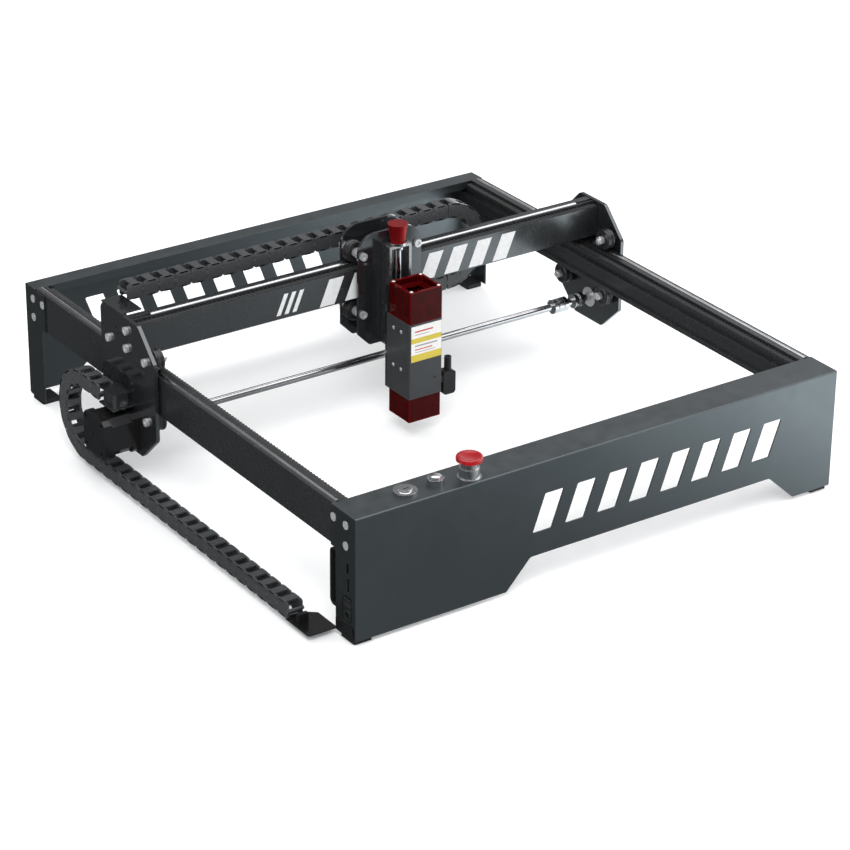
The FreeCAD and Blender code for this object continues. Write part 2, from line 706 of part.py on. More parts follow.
# ---------------------------------------------------------------- gantry
LEFT_PLATE = ((37, 145), (68, 176.5), (138, 178), (143, 172), (143, 63), (114, 35), (66, 35), (37, 63))
RIGHT_PLATE = ((37, 145), (68, 176.5), (112, 176.5), (143, 145), (143, 63), (114, 35), (66, 35), (37, 63))
BEAM_SCREWS_Z = (BEAM_Z + PROFILE_H / 4 + 1, BEAM_Z + PROFILE_H * 3 / 4 - 1)


def gantry_plate(corners, x0):
    """Side plate of the gantry with its axle, beam and shaft holes."""
    body = plate([V(x0, y, z) for y, z in corners], [6.0] * len(corners), X_AXIS * PLATE_T)
    holes = [cyl((x0 - 1, y, z), X_AXIS, AXLE_R, PLATE_T + 2) for y, z in wheel_places()]
    holes += [cyl((x0 - 1, ROD_Y, z), X_AXIS, AXLE_R, PLATE_T + 2) for z in BEAM_SCREWS_Z]
    holes.append(cyl((x0 - 1, GANTRY_Y, SHAFT_Z), X_AXIS, BOSS_R + 0.1, PLATE_T + 2))
    return cut(body, holes)


def wheel_places():
    """(y, z) of the four wheels of one gantry plate."""
    return [(GANTRY_Y + dy, z) for z in (WHEEL_TOP_Z, WHEEL_LOW_Z) for dy in (-WHEEL_DY, WHEEL_DY)]


def left_gantry_plate():
    """The left plate also carries the flange under the X cable chain and the tray of the Y cable chain."""
    body = gantry_plate(LEFT_PLATE, -PLATE_OUT)
    flange_z = X_CHAIN_TOP - CHAIN_H - SHEET - 0.3
    flange = box(-PLATE_OUT, -266, 101, 141, flange_z, flange_z + SHEET)
    web = box(-PLATE_OUT, -PLATE_IN, 101, 138, 170, flange_z + SHEET)
    tray_z = Y_CHAIN_UP - SHEET - 0.3
    tray = box(Y_CHAIN_X, -PLATE_OUT, Y_CHAIN_END - 21, Y_CHAIN_END + 7, tray_z, tray_z + SHEET)
    rib = box(Y_CHAIN_X + 1, -PLATE_OUT - 9, Y_CHAIN_END - 20, Y_CHAIN_END - 1, tray_z, tray_z + 17)
    small = [cyl((-PLATE_OUT - 1, y, z), X_AXIS, 1.6, PLATE_T + 2) for y, z in ((112, 160), (108, 154))]
    return cut(fuse([body, flange, web, tray, rib]), small)


def right_gantry_plate():
    return gantry_plate(RIGHT_PLATE, PLATE_IN)


def x_beam():
    """Beam: the rails' profile with a plain front, ledge to the front."""
    def place(u, v):
        return V(-PLATE_IN, BEAM_Y + u, BEAM_Z + v)
    return profile_bar(place, X_AXIS, 2 * PLATE_IN, BEAM_ROD_U, False)


def beam_rods():
    rods = []
    for z in (BEAM_Z + ROD_R - ROD_PROUD, BEAM_TOP - ROD_R + ROD_PROUD):
        half = RAIL_X - 1
        rods.append(cyl((-half, ROD_Y, z), X_AXIS, ROD_R, 2 * half))
    return Part.makeCompound(rods)


def x_belt():
    strip = toothed_strip(2 * PLATE_IN - 2)
    strip.translate(V(-PLATE_IN + 1, BEAM_Y + 0.25, BEAM_TOP - LEDGE_H))
    return strip


def stepper(length, boss_h):
    """Stepper motor along +X with its flange at x = 0: chamfered end caps and a narrower laminated body."""
    half = MOTOR_W / 2
    cap = min(9.0, length / 4)

    def octagon(x0, x1, size, chamfer):
        corners = []
        for sy, sz in ((-1, -1), (1, -1), (1, 1), (-1, 1)):
            a = V(x0, sy * size, sz * (size - chamfer))
            b = V(x0, sy * (size - chamfer), sz * size)
            corners += [b, a] if sy * sz < 0 else [a, b]
        return plate(corners, [0] * 8, X_AXIS * (x1 - x0))
    body = fuse([octagon(0, cap, half, 4.5), octagon(cap, length - cap, half - 0.6, 7.0),
                 octagon(length - cap, length, half, 4.5)])
    boss = cyl((-boss_h, 0, 0), X_AXIS, BOSS_R, boss_h + 1)
    dimple = cyl((length - 1.0, 0, 0), X_AXIS, 2.6, 2)
    bore = cyl((-PLATE_T, 0, 0), X_AXIS, MOTOR_SHAFT_R + RUN, PLATE_T + length - 8)
    screws = [cyl((length - 1.5, sy * 15.5, sz * 15.5), X_AXIS, 2.6, 3) for sy in (-1, 1) for sz in (-1, 1)]
    return cut(fuse([body, boss]), [dimple, bore] + screws)


def y_motor():
    motor = stepper(MOTOR_L, PLATE_T - 0.2)
    motor.rotate(V(0, 0, 0), Z_AXIS, 180)
    motor.translate(V(-PLATE_OUT, GANTRY_Y, SHAFT_Z))
    return motor


PULLEY_R = 6.4
PULLEY_X = RAIL_X + LEDGE_W / 2


def pulley(at, axis, width, bore):
    """Toothed pulley with two flanges, its middle at a point."""
    base = V(*at) - axis * (width / 2)
    body = cyl(tuple(base), axis, PULLEY_R, width)
    flanges = [cyl(tuple(base), axis, PULLEY_R + 1.6, 1.0),
               cyl(tuple(base + axis * (width - 1.0)), axis, PULLEY_R + 1.6, 1.0)]
    hub = cyl(tuple(base - axis * 4.0), axis, PULLEY_R + 1.4, 4.0)
    side = V(0, 0, 1)
    other = axis.cross(side)
    teeth = []
    for k in range(20):
        a = math.radians(18 * k)
        centre = base + side * (PULLEY_R * math.cos(a)) + other * (PULLEY_R * math.sin(a)) + axis
        teeth.append(cyl(tuple(centre), axis, 0.55, width - 2.0))
    solid = fuse([cut(body, teeth), hub] + flanges)
    return solid.cut(cyl(tuple(base - axis * 6.0), axis, bore, width + 8))


def sync_shaft():
    """The shaft across the machine with its two belt pulleys and the clamp coupling beside the right plate;
    its left end is turned down to run inside the motor."""
    in_motor = -PLATE_OUT - MOTOR_L + 9.0
    shoulder = -PLATE_IN + 0.5
    right_end = PLATE_OUT - 1.0
    shaft = fuse([cyl((in_motor, GANTRY_Y, SHAFT_Z), X_AXIS, MOTOR_SHAFT_R, shoulder - in_motor),
                  cyl((shoulder, GANTRY_Y, SHAFT_Z), X_AXIS, SHAFT_R, right_end - shoulder)])
    left = pulley((-PULLEY_X, GANTRY_Y, SHAFT_Z), X_AXIS, 8.5, SHAFT_R)
    right = pulley((PULLEY_X, GANTRY_Y, SHAFT_Z), -X_AXIS, 8.5, SHAFT_R)
    clamp_x = PULLEY_X - 32.0
    coupling = tube((clamp_x, GANTRY_Y, SHAFT_Z), X_AXIS, 8.0, SHAFT_R, 18.0)
    slits = [box(clamp_x + s, clamp_x + s + 1, GANTRY_Y - 20, GANTRY_Y + 20, SHAFT_Z, SHAFT_Z + 10)
             for s in (5.0, 12.0)]
    return Part.makeCompound([shaft, left, right, cut(coupling, slits)])


def gantry_axles():
    """Axle bolts of the eight wheels with spacers and lock nuts, the screws of the beam, and the ball bearing
    of the shaft in the right plate."""
    pieces = []
    inner = WHEEL_X - WHEEL_W / 2
    for y, z in wheel_places():
        bolt = fuse([cyl((inner - 7.0, y, z), X_AXIS, AXLE_R, PLATE_OUT - inner + 7.0),
                     cap_screw((PLATE_OUT, y, z), X_AXIS),
                     tube((WHEEL_X + WHEEL_W / 2 + 0.2, y, z), X_AXIS, 5.0, AXLE_R,
                          PLATE_IN - WHEEL_X - WHEEL_W / 2 - 0.2),
                     hexagon((inner - 5.2, y, z), X_AXIS, 8.0, 5.0)])
        pieces += [bolt, mirror_x(bolt)]
    for z in BEAM_SCREWS_Z:
        bolt = fuse([cyl((PLATE_IN, ROD_Y, z), X_AXIS, AXLE_R, PLATE_T),
                     cap_screw((PLATE_OUT, ROD_Y, z), X_AXIS)])
        pieces += [bolt, mirror_x(bolt)]
    pieces.append(tube((PLATE_IN, GANTRY_Y, SHAFT_Z), X_AXIS, BOSS_R, SHAFT_R + RUN, PLATE_T))
    return Part.makeCompound(pieces)


def wheel(at, axis):
    """Grooved wheel with a rounded groove that fits the guide rod, on two ball bearings."""
    half = WHEEL_W / 2
    r_groove = WHEEL_GROOVE_R
    rod = ROD_R + 0.1
    reach = math.sqrt(max(rod ** 2 - (rod - (WHEEL_R - r_groove)) ** 2, 0.1))
    rim_low = 0.6
    arc = Part.Arc(V(reach, 0, WHEEL_R), V(0, 0, r_groove), V(-reach, 0, WHEEL_R)).toShape()
    points = [V(-reach, 0, WHEEL_R), V(-half + rim_low, 0, WHEEL_R), V(-half, 0, WHEEL_R - rim_low),
              V(-half, 0, 8.2), V(-half + 1.0, 0, 7.8), V(-half + 1.0, 0, 5.0), V(-half, 0, 4.6),
              V(-half, 0, AXLE_R + RUN), V(half, 0, AXLE_R + RUN), V(half, 0, 4.6), V(half - 1.0, 0, 5.0),
              V(half - 1.0, 0, 7.8), V(half, 0, 8.2), V(half, 0, WHEEL_R - rim_low),
              V(half - rim_low, 0, WHEEL_R), V(reach, 0, WHEEL_R)]
    wire = Part.Wire([arc] + Part.makePolygon(points).Edges)
    solid = Part.Face(wire).revolve(V(0, 0, 0), X_AXIS, 360)
    if solid.ShapeType != "Solid":
        solid = Part.Solid(solid.Shells[0])
    if abs(axis.y) > 0.5:
        solid.rotate(V(0, 0, 0), Z_AXIS, 90)
    solid.translate(V(*at))
    return solid


def gantry_wheels():
    """Name and shape of the eight wheels on the side rails."""
    names = ("top_front", "top_rear", "bottom_front", "bottom_rear")
    made = {}
    for name, (y, z) in zip(names, wheel_places()):
        made["left_wheel_" + name] = wheel((-WHEEL_X, y, z), X_AXIS)
        made["right_wheel_" + name] = wheel((WHEEL_X, y, z), X_AXIS)
    return made


# ---------------------------------------------------------------- carriage
CAR_PLACES = [(CAR_X + dx, z) for z in (CAR_WHEEL_TOP_Z, CAR_WHEEL_LOW_Z)
              for dx in (-CAR_WHEEL_DX, CAR_WHEEL_DX)]
CAR_LOW = 86.0
CAR_TOP = 210.0


def carriage_plate(y0, holes):
    """Carriage plate with cut-off lower corners, a rounded top and its wheel holes."""
    x0, x1 = CAR_X - CAR_HALF, CAR_X + CAR_HALF
    corners = [(x0, CAR_LOW + 14), (x0 + 14, CAR_LOW), (x1 - 14, CAR_LOW), (x1, CAR_LOW + 14),
               (x1, CAR_TOP), (x0, CAR_TOP)]
    radii = [4.0] * 4 + [21.0] * 2
    body = plate([V(x, y0, z) for x, z in corners], radii, Y_AXIS * CAR_T)
    bores = [cyl((x, y0 - 1, z), Y_AXIS, AXLE_R, CAR_T + 2) for x, z in CAR_PLACES]
    return cut(body, bores + holes)


def carriage_front_plate():
    return carriage_plate(CAR_FRONT_Y, [])


def carriage_rear_plate():
    """The rear plate also has the tray that holds the moving end of the X cable chain."""
    vent = cyl((X_MOTOR_X, CAR_REAR_Y - 1, X_MOTOR_Z), Y_AXIS, 9.0, CAR_T + 2)
    body = carriage_plate(CAR_REAR_Y, [vent])
    tray_z = X_CHAIN_LOW - SHEET - 0.3
    back = X_CHAIN_Y + CHAIN_W
    tray = box(X_CHAIN_END - 8, X_CHAIN_END + 22, CAR_REAR_Y + CAR_T, back, tray_z, tray_z + SHEET)
    rib = box(X_CHAIN_END - 8, X_CHAIN_END - 1, CAR_REAR_Y + CAR_T, back, tray_z, tray_z + 16)
    return fuse([body, tray, rib])


def x_motor():
    """Flat stepper motor between the carriage plates, under the beam."""
    motor = stepper(X_MOTOR_L, 0.5)
    motor.rotate(V(0, 0, 0), Z_AXIS, 90)
    motor.translate(V(X_MOTOR_X, CAR_REAR_Y - X_MOTOR_L, X_MOTOR_Z))
    return motor


def x_pulley():
    """The X motor's shaft with the belt pulley below the beam's ledge."""
    y0 = BEAM_Y - 2.0
    y1 = CAR_REAR_Y - 8.5
    shaft = cyl((X_MOTOR_X, y0, X_MOTOR_Z), Y_AXIS, MOTOR_SHAFT_R, y1 - y0)
    toothed = pulley((X_MOTOR_X, BEAM_Y + LEDGE_W / 2, X_MOTOR_Z), Y_AXIS, 7.5, MOTOR_SHAFT_R)
    return Part.makeCompound([shaft, toothed])


def carriage_axles():
    """Axle bolts of the four carriage wheels with spacers and nuts."""
    pieces = []
    y_in = CAR_FRONT_Y + CAR_T
    wheel0, wheel1 = ROD_Y - WHEEL_W / 2, ROD_Y + WHEEL_W / 2
    for x, z in CAR_PLACES:
        bolt = fuse([cyl((x, CAR_FRONT_Y, z), Y_AXIS, AXLE_R, CAR_REAR_Y + CAR_T - CAR_FRONT_Y),
                     cap_screw((x, CAR_FRONT_Y, z), -Y_AXIS),
                     tube((x, y_in, z), Y_AXIS, 5.0, AXLE_R, wheel0 - 0.2 - y_in),
                     tube((x, wheel1 + 0.2, z), Y_AXIS, 5.0, AXLE_R, CAR_REAR_Y - wheel1 - 0.2),
                     hexagon((x, CAR_REAR_Y + CAR_T, z), Y_AXIS, 8.0, 4.0)])
        pieces.append(bolt)
    return Part.makeCompound(pieces)


def carriage_wheels():
    """Name and shape of the four wheels on the beam."""
    names = ("top_left", "top_right", "bottom_left", "bottom_right")
    made = {}
    for name, (x, z) in zip(names, CAR_PLACES):
        made["carriage_wheel_" + name] = wheel((x, ROD_Y, z), Y_AXIS)
    return made


# ---------------------------------------------------------------- height adjustment
GUIDE_X = (SCREW_X - 13.5, SCREW_X + 13.5)
GUIDE_Y = (56.0, CAR_FRONT_Y)
GUIDE_Z = (86.0, 197.5)
GUIDE_T = 3.0
NUT_Z = (128.0, 148.0)


def z_guide():
    """Upright channel on the front of the carriage, open to the front, closed by a cap at each end.
    The adjusting screw turns in it and the head's nut block slides in it."""
    x0, x1 = GUIDE_X
    y0, y1 = GUIDE_Y
    z0, z1 = GUIDE_Z
    t = GUIDE_T
    body = box(x0, x1, y0, y1, z0, z1).cut(box(x0 + t, x1 - t, y0 - 1, y1 - t, z0 + t, z1 - t))
    hole = cyl((SCREW_X, SCREW_Y, z0 - 1), Z_AXIS, SHAFT_R + RUN, z1 - z0 + 2)
    return body.cut(hole)


KNOB_Z = (200.0, 220.0)
KNOB_TOP_R = 10.6
KNOB_LOW_R = 7.8
KNOB_FLUTES = 18


def z_knob():
    """Tapered knob with fluted sides on the top of the adjusting screw."""
    height = KNOB_Z[1] - KNOB_Z[0]
    body = cone((SCREW_X, SCREW_Y, KNOB_Z[0]), Z_AXIS, KNOB_LOW_R, KNOB_TOP_R, height)
    flutes = []
    for k in range(KNOB_FLUTES):
        a = 2 * math.pi * k / KNOB_FLUTES
        out = V(math.cos(a), math.sin(a), 0)
        low = V(SCREW_X, SCREW_Y, KNOB_Z[0]) + out * (KNOB_LOW_R + 0.35)
        high = V(SCREW_X, SCREW_Y, KNOB_Z[1] - 4) + out * (KNOB_TOP_R + 0.35)
        axis = high - low
        flutes.append(Part.makeCylinder(0.9, axis.Length, low, axis))
    bore = cyl((SCREW_X, SCREW_Y, KNOB_Z[0] - 1), Z_AXIS, SHAFT_R, 13)
    return cut(body, flutes + [bore])


def lead_screw():
    """Adjusting screw with a collar under the channel's top cap and a washer under the knob."""
    rod = cyl((SCREW_X, SCREW_Y, GUIDE_Z[0] + 0.5), Z_AXIS, SHAFT_R, KNOB_Z[0] + 12 - GUIDE_Z[0] - 0.5)
    collar = cyl((SCREW_X, SCREW_Y, GUIDE_Z[1] - GUIDE_T - 2.6), Z_AXIS, SHAFT_R + 2.0, 2.5)
    washer = cyl((SCREW_X, SCREW_Y, GUIDE_Z[1] + 0.1), Z_AXIS, 9.5, KNOB_Z[0] - GUIDE_Z[1] - 0.1)
    return fuse([rod, collar, washer])


# ---------------------------------------------------------------- laser head
BACK_Y = SHELL_BACK
BACK_T = 3.2


def head_back_plate():
    """Sliding plate behind the head, with the nut block that runs inside the channel on the screw."""
    y1 = BACK_Y + BACK_T
    face = box(SHELL_X0, SHELL_X1, BACK_Y, y1, SHELL_LOW, GUARD_TOP - 4)
    neck = box(SCREW_X - 8, SCREW_X + 8, y1 - 1, GUIDE_Y[0] + 1, NUT_Z[0], NUT_Z[1])
    inside = (GUIDE_X[1] - GUIDE_X[0]) / 2 - GUIDE_T - RUN
    block = box(SCREW_X - inside, SCREW_X + inside, GUIDE_Y[0], GUIDE_Y[1] - GUIDE_T - RUN,
                NUT_Z[0], NUT_Z[1])
    nut_hole = cyl((SCREW_X, SCREW_Y, NUT_Z[0] - 1), Z_AXIS, SHAFT_R + RUN, NUT_Z[1] - NUT_Z[0] + 2)
    return fuse([face, neck, block]).cut(nut_hole)


def head_shell():
    """Folded casing of the laser module, open at the top and bottom, with a seam down its left side."""
    outer = box(SHELL_X0, SHELL_X1, SHELL_FRONT, SHELL_BACK, SHELL_LOW, SHELL_TOP)
    outer = fillet_edges(outer, 1.5, lambda p, d: abs(d.z) > 0.99 and p.y < SHELL_FRONT + 1)
    inner = box(SHELL_X0 + 2, SHELL_X1 - 2, SHELL_FRONT + 2, SHELL_BACK - 2, SHELL_LOW - 1, SHELL_TOP + 1)
    seam = box(SHELL_X0 - 1, SHELL_X0 + 0.5, SHELL_FRONT + 2.0, SHELL_FRONT + 2.8,
               SHELL_LOW - 1, SHELL_TOP + 1)
    hole = cyl((SHELL_X1 - 9, SHELL_FRONT - 1, SHELL_LOW + 19), Y_AXIS, 1.2, 4)
    hose = cyl((SHELL_X1 - 4, HOSE_Y, HOSE_Z), X_AXIS, 3.0, 8)
    screws = [cyl((SHELL_X0 - 1, y, z), X_AXIS, 1.6, 5) for y, z in SHELL_SCREWS]
    return cut(outer, [inner, seam, hole, hose] + screws)


SHELL_SCREWS = [(SHELL_FRONT + dy, z) for dy in (15.0, 29.0) for z in (75.0, 117.0)]
HOSE_Y = SHELL_FRONT + 6.0
HOSE_Z = 57.0


def guard(y0, y1, z0, z1, x0, x1):
    """Open acrylic box with rounded vertical corners."""
    outer = box(x0, x1, y0, y1, z0, z1)
    outer = fillet_edges(outer, 1.2, lambda p, d: abs(d.z) > 0.99)
    return outer.cut(box(x0 + 2.5, x1 - 2.5, y0 + 2.5, y1 - 2.5, z0 - 1, z1 + 1))


def upper_guard():
    """Red acrylic guard above the casing, with corner posts and a ledge inside."""
    x0, x1 = SHELL_X0 + 1.8, SHELL_X1 + 0.4
    y0, y1 = SHELL_FRONT + 1.0, SHELL_BACK - 1.0
    walls = guard(y0, y1, SHELL_TOP, GUARD_TOP, x0, x1)
    posts = []
    for x in (x0 + 3.0, x1 - 3.0):
        for y in (y0 + 3.0, y1 - 3.0):
            posts.append(cyl((x, y, SHELL_TOP), Z_AXIS, 2.6, GUARD_TOP - SHELL_TOP))
    ledge_z = GUARD_TOP - 10.0
    ledge = box(x0 + 1, x1 - 1, y0 + 1, y1 - 1, ledge_z, ledge_z + 2)
    ledge = ledge.cut(box(x0 + 7, x1 - 7, y0 + 7, y1 - 7, ledge_z - 1, ledge_z + 3))
    return fuse([walls, ledge] + posts)


def lower_guard():
    """Red acrylic guard round the beam below the casing."""
    return guard(SHELL_FRONT + 1.0, SHELL_BACK - 2.0, GUARD_LOW, SHELL_LOW, SHELL_X0 + 1.2, SHELL_X1 - 0.6)


SINK_Z = (60.0, 114.0)
FAN_R = 15.5
FAN_AT = (HEAD_X, SHELL_FRONT + SHELL_D / 2)


def heatsink():
    """Finned aluminium block that fills the casing, with a post for the fan."""
    x0, x1 = SHELL_X0 + 2, SHELL_X1 - 2
    y0, y1 = SHELL_FRONT + 2, SHELL_BACK - 2
    block = box(x0, x1, y0, y1, SINK_Z[0], SINK_Z[1])
    gaps = []
    count = 7
    pitch = (x1 - x0) / count
    for k in range(count):
        x = x0 + (k + 0.5) * pitch
        gaps.append(box(x - 1.2, x + 1.2, y0 - 1, y1 + 1, SINK_Z[0] + 12, SINK_Z[1] - 3))
    post = cyl((FAN_AT[0], FAN_AT[1], SINK_Z[1] - 1), Z_AXIS, 1.5, 9)
    bore = cyl((FAN_AT[0], FAN_AT[1], SINK_Z[0] - 1), Z_AXIS, 6.0, 11)
    return cut(fuse([cut(block, gaps), post]), [bore])


def cooling_fan():
    """Fan impeller on its post: a hub with seven twisted blades."""
    x, y = FAN_AT
    z0 = SINK_Z[1] + 1.0
    hub = cyl((x, y, z0), Z_AXIS, 7.0, 9.0)
    blades = []
    for k in range(7):
        blade = box(6.0, FAN_R, -0.6, 0.6, 0.5, 8.5)
        blade.rotate(V(10, 0, 4.5), X_AXIS, 28)
        blade.rotate(V(0, 0, 0), Z_AXIS, 360.0 / 7 * k)
        blade.translate(V(x, y, z0))
        blades.append(blade)
    return fuse([hub] + blades).cut(cyl((x, y, z0 - 1), Z_AXIS, 1.5 + RUN, 9.1))


def lens_nozzle():
    """Laser diode barrel, lens holder and air nozzle, in the heatsink's bore."""
    x, y = FAN_AT
    barrel = cyl((x, y, 40), Z_AXIS, 5.9, 30)
    holder = cyl((x, y, 36), Z_AXIS, 9.0, 9)
    nozzle = cone((x, y, 26), Z_AXIS, 3.5, 8.0, 10)
    bore = cyl((x, y, 25), Z_AXIS, 1.5, 35)
    return fuse([barrel, holder, nozzle]).cut(bore)


def air_fitting():
    """Push-in elbow of the air assist on the right side of the casing."""
    x0 = SHELL_X1
    stub = cyl((x0 - 2.0, HOSE_Y, HOSE_Z), X_AXIS, 2.9, 6)
    nut = hexagon((x0, HOSE_Y, HOSE_Z), X_AXIS, 9.0, 3.5)
    block = box(x0 + 3, x0 + 18, HOSE_Y - 5.5, HOSE_Y + 5.5, HOSE_Z - 18, HOSE_Z + 8)
    block = fillet_edges(block, 3.5, lambda p, d: abs(d.y) > 0.99)
    riser = cyl((x0 + 11.5, HOSE_Y, HOSE_Z + 7), Z_AXIS, 3.8, 16)
    bore = cyl((x0 + 11.5, HOSE_Y, HOSE_Z), Z_AXIS, 2.0, 30)
    return fuse([stub, nut, block, riser]).cut(bore)


# ---------------------------------------------------------------- export
def all_parts():
    singles = [front_cover, rear_cover, end_plates, left_rail, right_rail, rail_rods, y_belts, feet,
               frame_screws, control_box, mainboard, power_rocker, chain_anchor_bracket, y_chain_lower_run,
               control_bezels, key_barrel, pause_button, estop_stem, estop_head,
               left_gantry_plate, right_gantry_plate, x_beam, beam_rods, x_belt, y_motor, sync_shaft,
               gantry_axles, x_chain_upper_run, y_chain_upper_run, y_chain_bend, x_chain_bend,
               carriage_front_plate, carriage_rear_plate, x_motor, x_pulley, carriage_axles,
               x_chain_lower_run, z_guide, z_knob, lead_screw,
               head_back_plate, head_shell, upper_guard, lower_guard, heatsink, cooling_fan,
               lens_nozzle, air_fitting]
    parts = {make.__name__: make() for make in singles}
    parts.update(gantry_wheels())
    parts.update(carriage_wheels())
    return parts


def export(parts):
    os.makedirs("parts", exist_ok=True)
    for name, shape in parts.items():
        shape.translate(V(SHIFT_X, 0, 0))
        shape.exportStep("parts/%s.step" % name)


export(all_parts())
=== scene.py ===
import bpy
import bmesh
import json
import math
from mathutils import Matrix, Vector


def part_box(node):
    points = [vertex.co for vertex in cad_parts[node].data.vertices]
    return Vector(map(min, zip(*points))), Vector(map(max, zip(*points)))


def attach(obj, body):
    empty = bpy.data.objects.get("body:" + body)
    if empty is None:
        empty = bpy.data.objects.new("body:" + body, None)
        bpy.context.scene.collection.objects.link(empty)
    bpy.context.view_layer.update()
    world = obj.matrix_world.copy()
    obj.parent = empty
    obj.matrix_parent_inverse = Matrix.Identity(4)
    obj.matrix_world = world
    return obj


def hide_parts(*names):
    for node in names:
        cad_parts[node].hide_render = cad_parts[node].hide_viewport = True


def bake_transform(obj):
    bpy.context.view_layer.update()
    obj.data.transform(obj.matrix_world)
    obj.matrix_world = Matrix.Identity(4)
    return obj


# Looks of the desktop laser cutter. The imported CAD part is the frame: metres, +Z up,
# +X along the front cover, +Y towards the rear cover.

MM = 0.001
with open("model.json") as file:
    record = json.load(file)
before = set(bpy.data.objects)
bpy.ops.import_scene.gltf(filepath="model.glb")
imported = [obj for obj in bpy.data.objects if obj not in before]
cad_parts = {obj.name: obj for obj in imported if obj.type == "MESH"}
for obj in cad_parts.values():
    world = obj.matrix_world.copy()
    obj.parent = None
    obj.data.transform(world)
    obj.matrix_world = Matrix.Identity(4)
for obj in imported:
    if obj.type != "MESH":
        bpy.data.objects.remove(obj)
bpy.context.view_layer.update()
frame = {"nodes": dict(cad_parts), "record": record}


# ---------------------------------------------------------------- places taken from the frame
def middle(node):
    low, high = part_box(node)
    return (low + high) / 2


COVER = middle("front_cover")
BEAM_LOW, BEAM_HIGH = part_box("x_beam")
SHELL_LOW, SHELL_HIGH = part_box("head_shell")


# ---------------------------------------------------------------- node material helpers
class Nodes:
    """Builds one node material step by step."""

    def __init__(self, name):
        self.material = bpy.data.materials.new(name)
        self.material.use_nodes = True
        self.tree = self.material.node_tree
        self.shader = self.tree.nodes["Principled BSDF"]
        coordinates = self.tree.nodes.new("ShaderNodeTexCoord")
        self.place = coordinates.outputs["Object"]

    def link(self, source, target):
        self.tree.links.new(source, target)

    def set(self, name, value):
        self.shader.inputs[name].default_value = value

    def noise(self, scale, detail=4.0, stretch=(1, 1, 1)):
        """Noise at a scale in cells per metre, stretched along the axes."""
        mapping = self.tree.nodes.new("ShaderNodeMapping")
        mapping.inputs["Scale"].default_value = stretch
        texture = self.tree.nodes.new("ShaderNodeTexNoise")
        texture.inputs["Scale"].default_value = scale
        texture.inputs["Detail"].default_value = detail
        self.link(self.place, mapping.inputs["Vector"])
        self.link(mapping.outputs["Vector"], texture.inputs["Vector"])
        return texture.outputs["Fac"]

    def range(self, value, low, high, start=0.3, end=0.7):
        """Maps a value from start..end to low..high."""
        node = self.tree.nodes.new("ShaderNodeMapRange")
        node.inputs["From Min"].default_value = start
        node.inputs["From Max"].default_value = end
        node.inputs["To Min"].default_value = low
        node.inputs["To Max"].default_value = high
        self.link(value, node.inputs["Value"])
        return node.outputs["Result"]

    def mix(self, factor, first, second):
        """Mixes two colours; each is a colour or a socket."""
        node = self.tree.nodes.new("ShaderNodeMix")
        node.data_type = "RGBA"
        for source, socket in ((factor, node.inputs[0]), (first, node.inputs[6]), (second, node.inputs[7])):
            if isinstance(source, bpy.types.NodeSocket):
                self.link(source, socket)
            elif isinstance(source, (int, float)):
                socket.default_value = source
            else:
                socket.default_value = (*source, 1.0)
        return node.outputs[2]

    def math(self, operation, first, second):
        node = self.tree.nodes.new("ShaderNodeMath")
        node.operation = operation
        for source, socket in ((first, node.inputs[0]), (second, node.inputs[1])):
            if isinstance(source, bpy.types.NodeSocket):
                self.link(source, socket)
            else:
                socket.default_value = source
        return node.outputs[0]

    def axis(self, letter):
        """Object coordinate along one axis, in metres."""
        node = self.tree.nodes.new("ShaderNodeSeparateXYZ")
        self.link(self.place, node.inputs[0])
        return node.outputs[letter]

    def bump(self, height, strength, distance):
        node = self.tree.nodes.new("ShaderNodeBump")
        node.inputs["Strength"].default_value = strength
        node.inputs["Distance"].default_value = distance
        self.link(height, node.inputs["Height"])
        self.link(self.round_normal(), node.inputs["Normal"])
        self.link(node.outputs["Normal"], self.shader.inputs["Normal"])

    def round_normal(self, radius=0.35 * MM):
        """Normal of an edge as if it were broken by a small radius."""
        node = self.tree.nodes.new("ShaderNodeBevel")
        node.samples = 3
        node.inputs["Radius"].default_value = radius
        return node.outputs["Normal"]

    # Edge mask: paler worn edges on the coated parts, and a painted glow on the cut edges of the red
    # acrylic.
    def edge_wear_and_glow(self, radius=0.6 * MM):
        """Close to 1 along edges and 0 on flat faces."""
        geometry = self.tree.nodes.new("ShaderNodeNewGeometry")
        dot = self.tree.nodes.new("ShaderNodeVectorMath")
        dot.operation = "DOT_PRODUCT"
        self.link(self.round_normal(radius), dot.inputs[0])
        self.link(geometry.outputs["True Normal"], dot.inputs[1])
        return self.range(dot.outputs["Value"], 1.0, 0.0, 0.85, 0.99)


def coated(name, color, light, roughness, grain=900.0, metallic=0.0, coat=0.0, wear=0.5, bump=0.08):
    """Painted, anodised or moulded surface: broad tone changes, a fine grain and paler edges."""
    m = Nodes(name)
    dust = m.noise(60.0, 6.0)
    tone = m.mix(m.range(m.noise(9.0, 3.0), 0.0, 0.5), color, light)
    worn = m.math("MULTIPLY", m.edge_wear_and_glow(), m.range(dust, 0.25 * wear, wear))
    edge = tuple(min(1.0, channel * 2.2 + 0.03) for channel in light)
    m.link(m.mix(worn, tone, edge), m.shader.inputs["Base Color"])
    m.link(m.range(dust, roughness * 0.85, roughness * 1.2), m.shader.inputs["Roughness"])
    m.set("Metallic", metallic)
    m.set("Coat Weight", coat)
    m.set("Coat Roughness", 0.08)
    m.bump(m.noise(grain, 2.0), bump, 0.1 * MM)
    return m.material


def metal(name, dark, light, roughness, patch=300.0, grain=1500.0, metallic=1.0):
    """Bare or plated metal: small changes of tone and polish, and a very fine grain."""
    m = Nodes(name)
    m.link(m.mix(m.range(m.noise(patch), 0.0, 1.0), dark, light), m.shader.inputs["Base Color"])
    m.link(m.range(m.noise(grain * 0.6), roughness * 0.7, roughness * 1.3), m.shader.inputs["Roughness"])
    m.set("Metallic", metallic)
    m.bump(m.noise(grain, 2.0), 0.04, 0.04 * MM)
    return m.material


